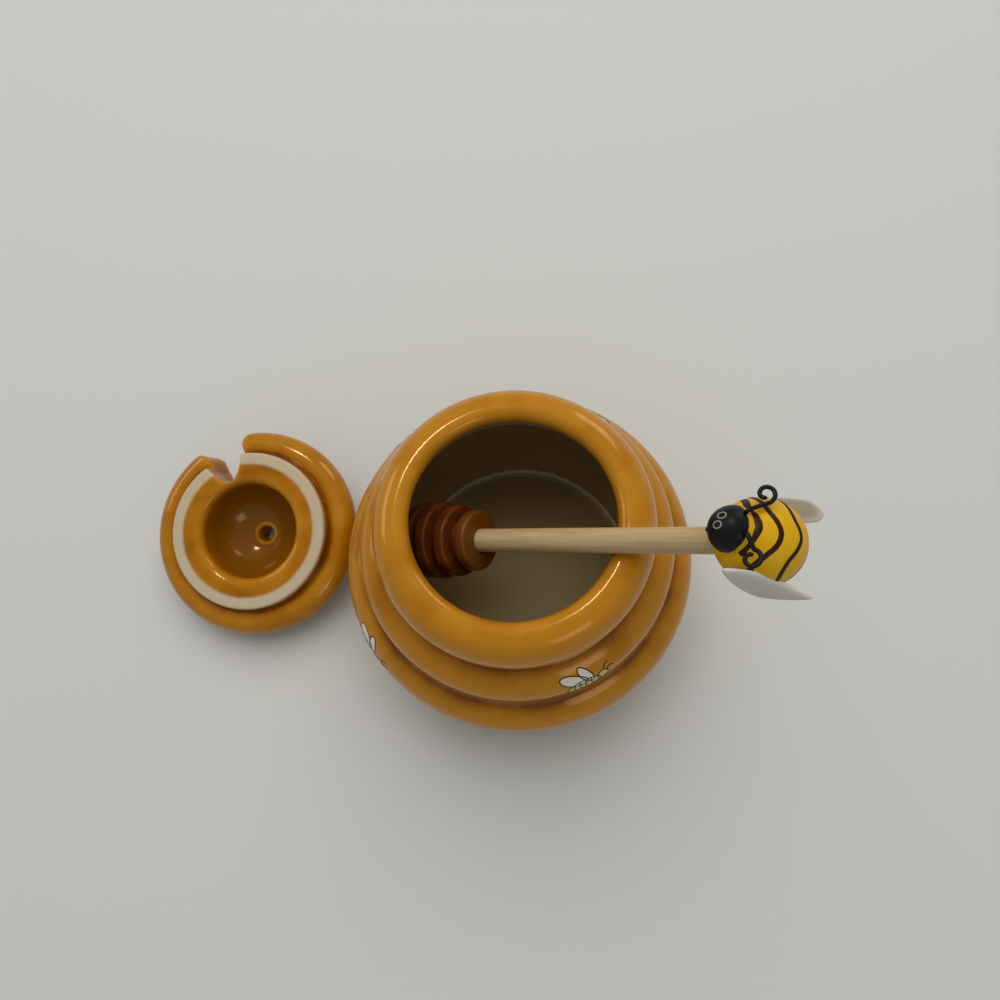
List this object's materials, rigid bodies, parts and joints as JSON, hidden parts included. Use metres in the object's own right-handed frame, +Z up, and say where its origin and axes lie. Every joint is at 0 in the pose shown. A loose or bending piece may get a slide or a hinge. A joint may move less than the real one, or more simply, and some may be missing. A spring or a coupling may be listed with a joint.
{
  "type": "honey jar",
  "caption": "Beehive-shaped glazed ceramic honey jar with a loose notched lid and a honey dipper whose handle ends in a small bee.",
  "frame": {"origin": "centre of the flat underside of the jar's foot", "axes": "+Z up along the jar's own axis; the lid lies upside down on the table towards -X and the dipper's bee hangs out over the lip towards +X"},
  "size_m": [0.187, 0.1, 0.1016],
  "materials": {
    "amber_glaze": "glossy amber glaze outside, cream glaze inside",
    "lid_glaze": "glossy amber glaze with a bare cream seat ring",
    "bare_wood": "sanded pale wood",
    "dark_wood": "varnished dark amber wood",
    "bee_yellow": "painted yellow with dark stripes, satin",
    "bee_black": "painted black, satin",
    "bee_wing": "white, satin",
    "antenna_wire": "black wire"
  },
  "bodies": {
    "jar": {"jar_body": "amber_glaze"},
    "lid": {"lid": "lid_glaze"},
    "dipper": {"dipper_stick": "bare_wood", "dipper_head": "dark_wood", "bee_body": "bee_yellow", "bee_head": "bee_black", "bee_wing_left": "bee_wing", "bee_wing_right": "bee_wing", "bee_antenna_left": "antenna_wire", "bee_antenna_right": "antenna_wire"}
  },
  "joints": [
    {"name": "lid_lift", "type": "slide", "parent": "jar", "child": "lid", "axis": [0, 0, 1], "range_m": [0, 0.12]},
    {"name": "dipper_lift", "type": "slide", "parent": "jar", "child": "dipper", "axis": [0.6725, -0.1137, 0.7313], "range_m": [0, 0.09]}
  ]
}
